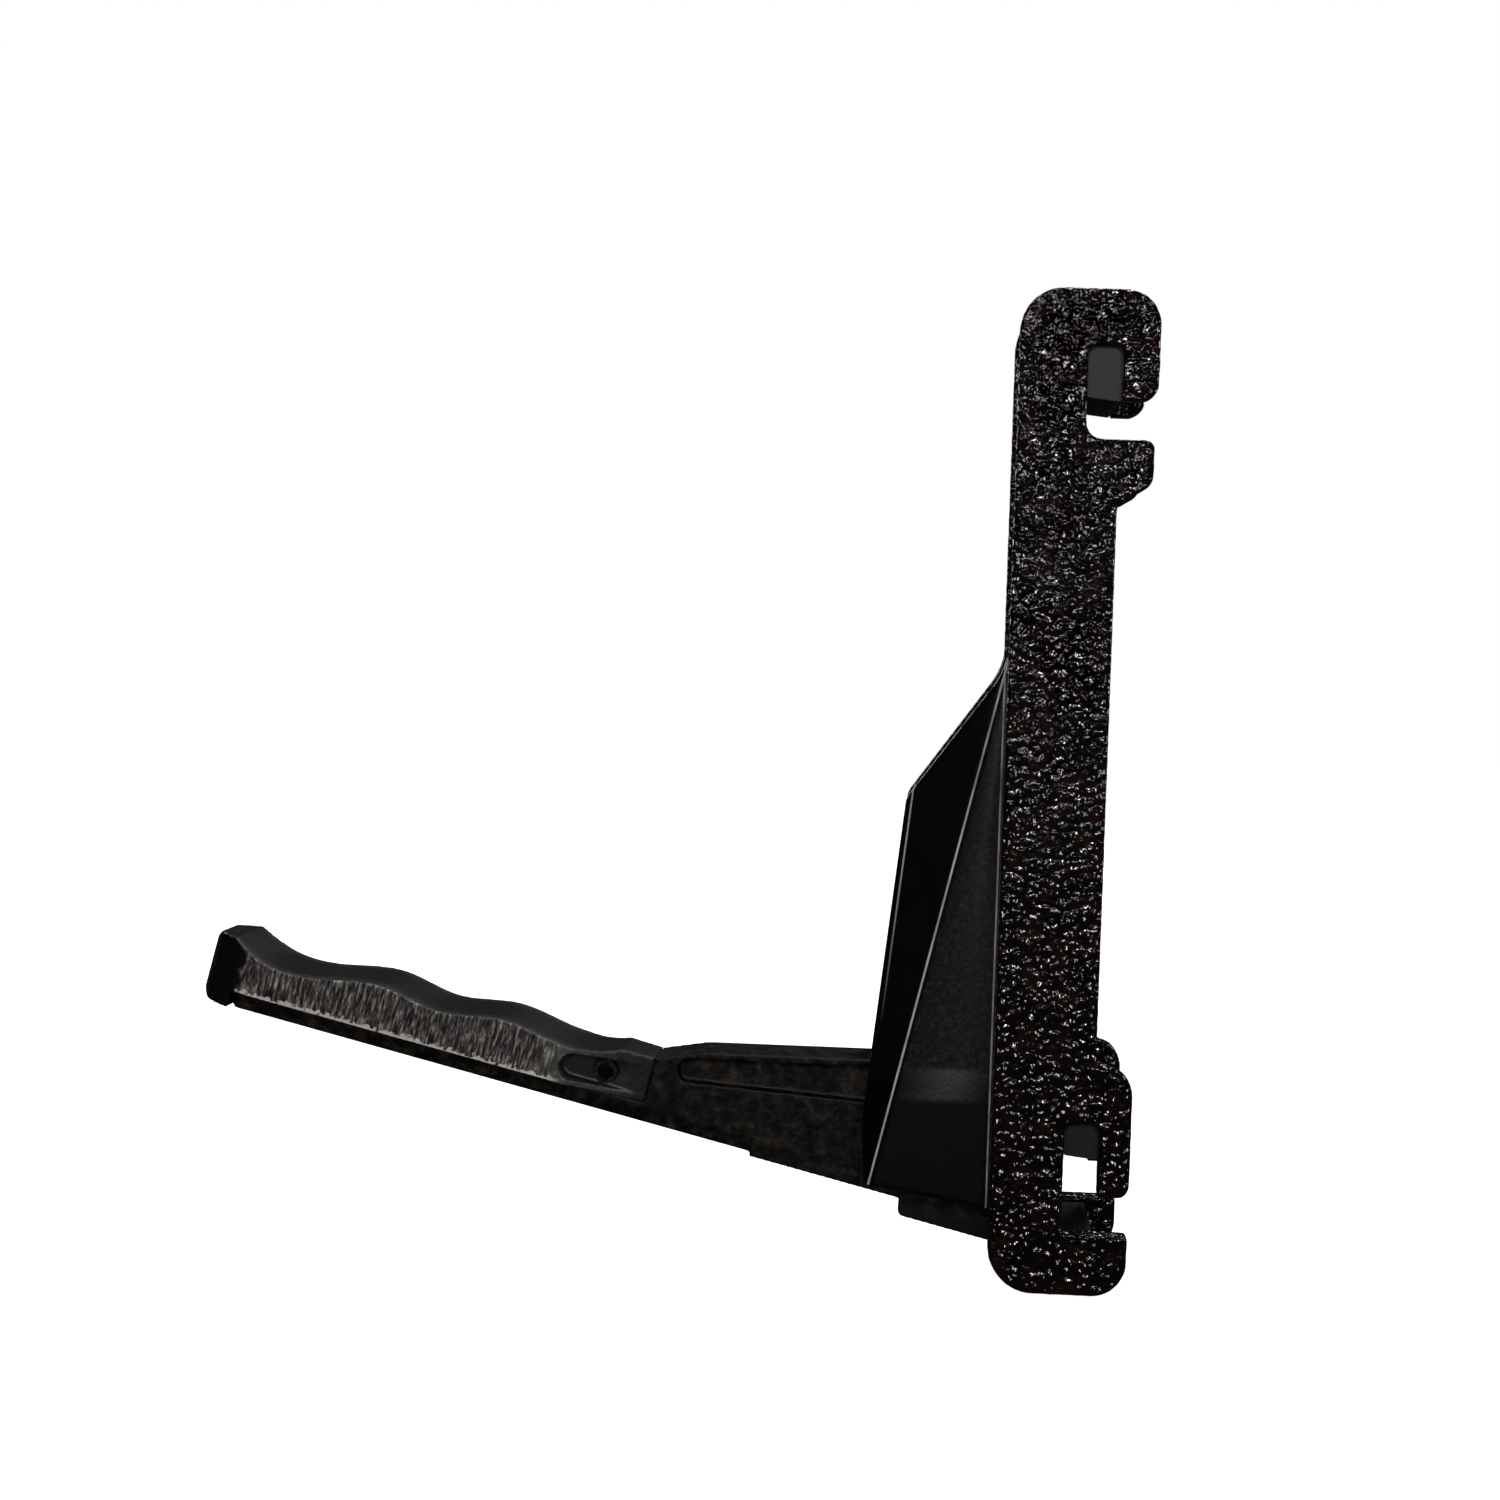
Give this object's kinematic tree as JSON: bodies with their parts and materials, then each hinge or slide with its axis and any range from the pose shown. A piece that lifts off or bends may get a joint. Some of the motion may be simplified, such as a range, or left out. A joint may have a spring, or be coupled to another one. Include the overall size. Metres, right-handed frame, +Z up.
{
  "type": "sash lift handle",
  "caption": "Folding lever handle in a hooked bracket that hangs on studs, with a finger-grooved grip that swings down to lift or pull a sash.",
  "frame": {"origin": "middle of the seating face, the back edge of the bracket between its hooks", "axes": "+X back to the sash, +Z up along the side plates, Y across the handle; the lever points to -X, lowered onto its stop"},
  "size_m": [0.1778, 0.03, 0.1861],
  "materials": {
    "hammertone_coat": "black hammertone powder coat, hard pebbled gloss",
    "black_casting": "smooth black enamel on a zinc casting, satin to gloss",
    "black_nylon": "moulded black nylon",
    "blackened_screw": "black oxide on steel",
    "hardened_steel": "ground hardened steel",
    "natural_nylon": "moulded natural nylon",
    "sintered_bronze": "oiled sintered bronze",
    "forged_steel": "black forging scale, rubbed on the edges",
    "ground_iron": "cast iron with belt-ground sides and a dark waxed top",
    "spring_steel": "drawn spring steel"
  },
  "bodies": {
    "bracket": {"left_side_plate": "hammertone_coat", "right_side_plate": "hammertone_coat", "yoke_casting": "black_casting", "upper_stud_block": "black_nylon", "lower_stud_saddle": "black_nylon", "plate_screws": "blackened_screw", "pivot_pin": "hardened_steel", "left_thrust_washer": "natural_nylon", "right_thrust_washer": "natural_nylon"},
    "lever": {"pivot_bush": "sintered_bronze", "lever_arm": "forged_steel", "lever_grip": "ground_iron", "grip_spring_pin": "spring_steel", "detent_balls": "hardened_steel", "detent_spring": "spring_steel"}
  },
  "joints": [
    {"name": "lever_fold", "type": "hinge", "parent": "bracket", "child": "lever", "pos_m": [-0.0135, 0, -0.0635], "axis": [0, 1, 0], "range_deg": [0, 76.6]}
  ]
}
